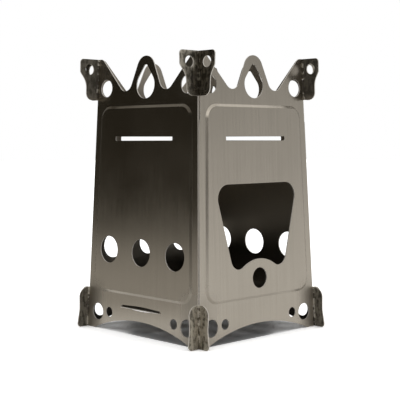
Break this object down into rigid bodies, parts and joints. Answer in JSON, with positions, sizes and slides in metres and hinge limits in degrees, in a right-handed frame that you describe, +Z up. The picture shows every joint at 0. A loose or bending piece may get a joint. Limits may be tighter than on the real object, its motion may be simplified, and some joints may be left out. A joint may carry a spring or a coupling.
{
  "type": "backpacking stove",
  "caption": "Flat-pack wood-burning camp stove: leaning sheet panels that lap at the corners round a floor plate, with a fuel port, air holes and a crown that carries the pot.",
  "frame": {"origin": "on the ground, at the middle of the stove's base", "axes": "+Z up to the pot; -Y out through the fuel port; +X towards the right panel, seen from the port"},
  "size_m": [0.0922, 0.0914, 0.13],
  "materials": {
    "titanium_sheet": "bare rolled titanium sheet, satin, warm grey",
    "titanium_floor": "bare rolled titanium sheet, satin, warm grey"
  },
  "bodies": {
    "base": {"left_panel": "titanium_sheet", "right_panel": "titanium_sheet", "floor_plate": "titanium_floor"},
    "front": {"front_panel": "titanium_sheet"},
    "back": {"back_panel": "titanium_sheet"}
  },
  "joints": [
    {"name": "front_lift", "type": "slide", "parent": "base", "child": "front", "axis": [0, 0.0366, 0.9993], "range_m": [0, 0.0104]},
    {"name": "back_lift", "type": "slide", "parent": "base", "child": "back", "axis": [0, -0.0366, 0.9993], "range_m": [0, 0.0104]}
  ]
}
